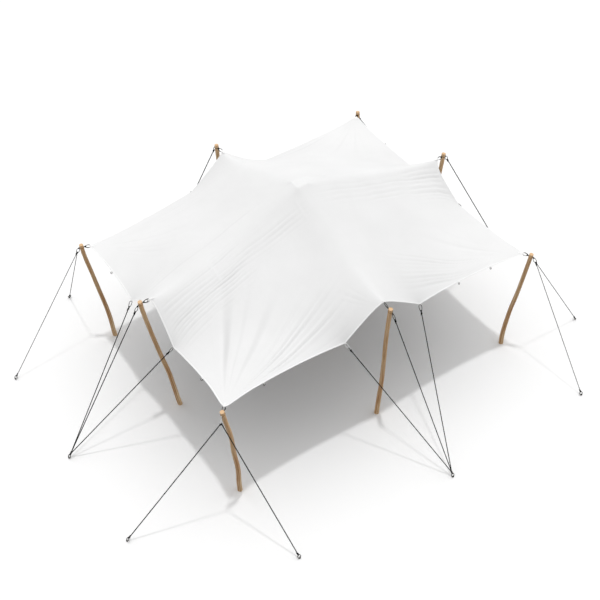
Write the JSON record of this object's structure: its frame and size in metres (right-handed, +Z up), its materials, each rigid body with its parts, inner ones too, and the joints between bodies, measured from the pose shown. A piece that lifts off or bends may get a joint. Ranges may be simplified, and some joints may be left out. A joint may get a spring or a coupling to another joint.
{
  "type": "stretch tent",
  "caption": "White stretch-fabric canopy on crooked wooden edge poles and a centre pole, with steel links, taut guy ropes and ring-headed ground stakes.",
  "frame": {"origin": "middle of the centre pole's foot, on the ground", "axes": "+X along the tent's long direction to its right end, +Y to the back, +Z up; the front long side faces -Y"},
  "size_m": [9.5632, 8.1786, 3.663],
  "materials": {
    "canopy_fabric": "matte white coated stretch knit",
    "pole_wood": "peeled, oiled natural poles",
    "head_rubber": "moulded black rubber head",
    "link_steel": "bare galvanised wire",
    "guy_rope": "twisted black rope",
    "stake_steel": "dull dark forged steel"
  },
  "bodies": {
    "root": {"canopy": "canopy_fabric", "edge_link_back_left": "link_steel", "edge_link_back_right": "link_steel", "edge_link_front_left": "link_steel", "edge_link_front_right": "link_steel", "edge_link_left_back": "link_steel", "edge_link_left_front": "link_steel", "edge_link_right_back": "link_steel", "edge_link_right_front": "link_steel", "guy_rope_back_left_end": "guy_rope", "guy_rope_back_left_side": "guy_rope", "guy_rope_back_right_end": "guy_rope", "guy_rope_back_right_side": "guy_rope", "guy_rope_front_left_end": "guy_rope", "guy_rope_front_left_side": "guy_rope", "guy_rope_front_right_end": "guy_rope", "guy_rope_front_right_side": "guy_rope", "guy_ropes_back": "guy_rope", "guy_ropes_front": "guy_rope", "guy_ropes_left": "guy_rope", "guy_ropes_right": "guy_rope", "head_fitting_back": "link_steel", "head_fitting_back_left": "link_steel", "head_fitting_back_right": "link_steel", "head_fitting_front": "link_steel", "head_fitting_front_left": "link_steel", "head_fitting_front_right": "link_steel", "head_fitting_left": "link_steel", "head_fitting_right": "link_steel", "pole_back": "pole_wood", "pole_back_left": "pole_wood", "pole_back_right": "pole_wood", "pole_centre": "pole_wood", "pole_centre_head": "head_rubber", "pole_front": "pole_wood", "pole_front_left": "pole_wood", "pole_front_right": "pole_wood", "pole_left": "pole_wood", "pole_right": "pole_wood", "stake_back": "stake_steel", "stake_back_left_end": "stake_steel", "stake_back_left_side": "stake_steel", "stake_back_right_end": "stake_steel", "stake_back_right_side": "stake_steel", "stake_front": "stake_steel", "stake_front_left_end": "stake_steel", "stake_front_left_side": "stake_steel", "stake_front_right_end": "stake_steel", "stake_front_right_side": "stake_steel", "stake_left": "stake_steel", "stake_right": "stake_steel"}
  },
  "joints": []
}
